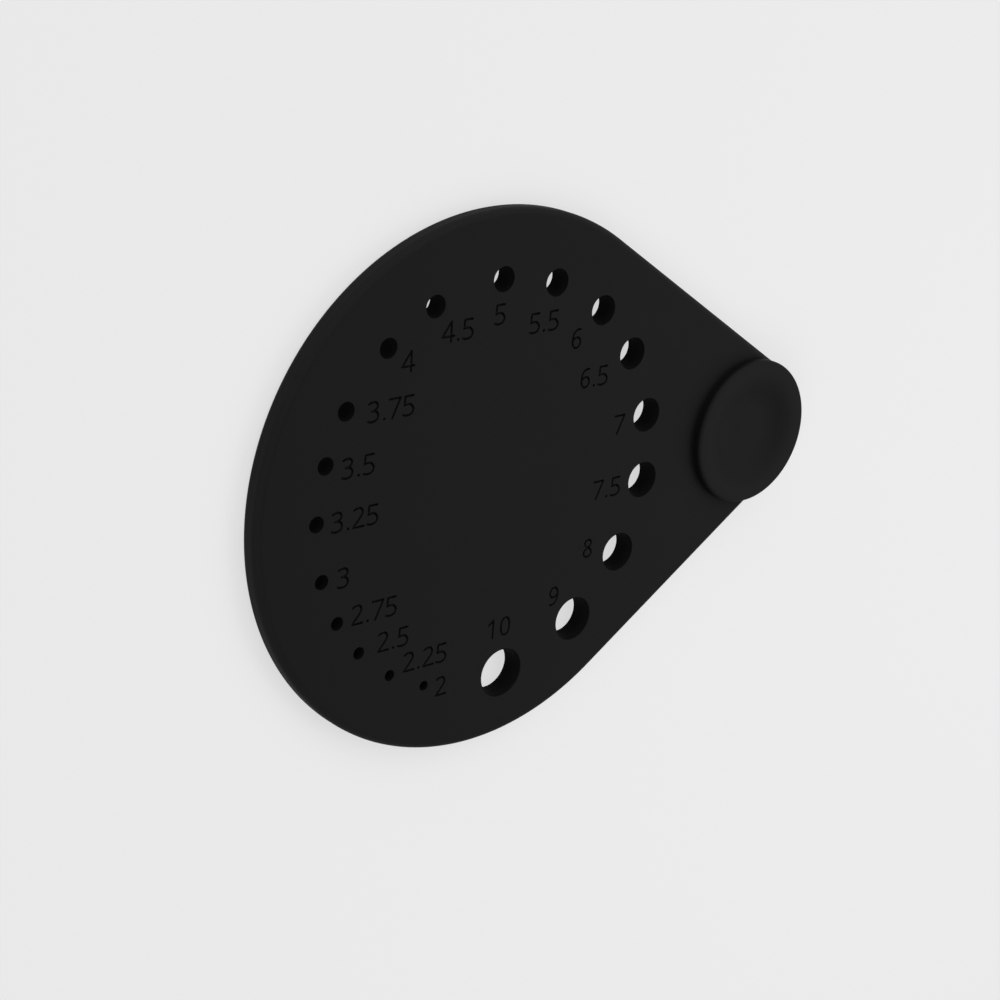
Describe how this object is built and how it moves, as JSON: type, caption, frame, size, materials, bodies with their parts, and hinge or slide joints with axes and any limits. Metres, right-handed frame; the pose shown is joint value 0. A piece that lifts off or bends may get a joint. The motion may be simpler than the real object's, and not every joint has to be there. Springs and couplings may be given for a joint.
{
  "type": "knitting needle gauge",
  "caption": "Flat teardrop plate with a ring of graded round holes that size knitting needles, and a raised dished finger disc on its narrow end.",
  "frame": {"origin": "centre of the broad disc and of the ring of holes, on the flat back face that the gauge lies on", "axes": "+X from the broad disc to the finger disc, +Z out of the front face, +Y up the face as its figures are read"},
  "size_m": [0.1448, 0.1124, 0.007],
  "materials": {
    "black_plastic": "matte black plastic, printed in fine layers parallel to its face"
  },
  "bodies": {
    "root": {"gauge_plate": "black_plastic"}
  },
  "joints": []
}
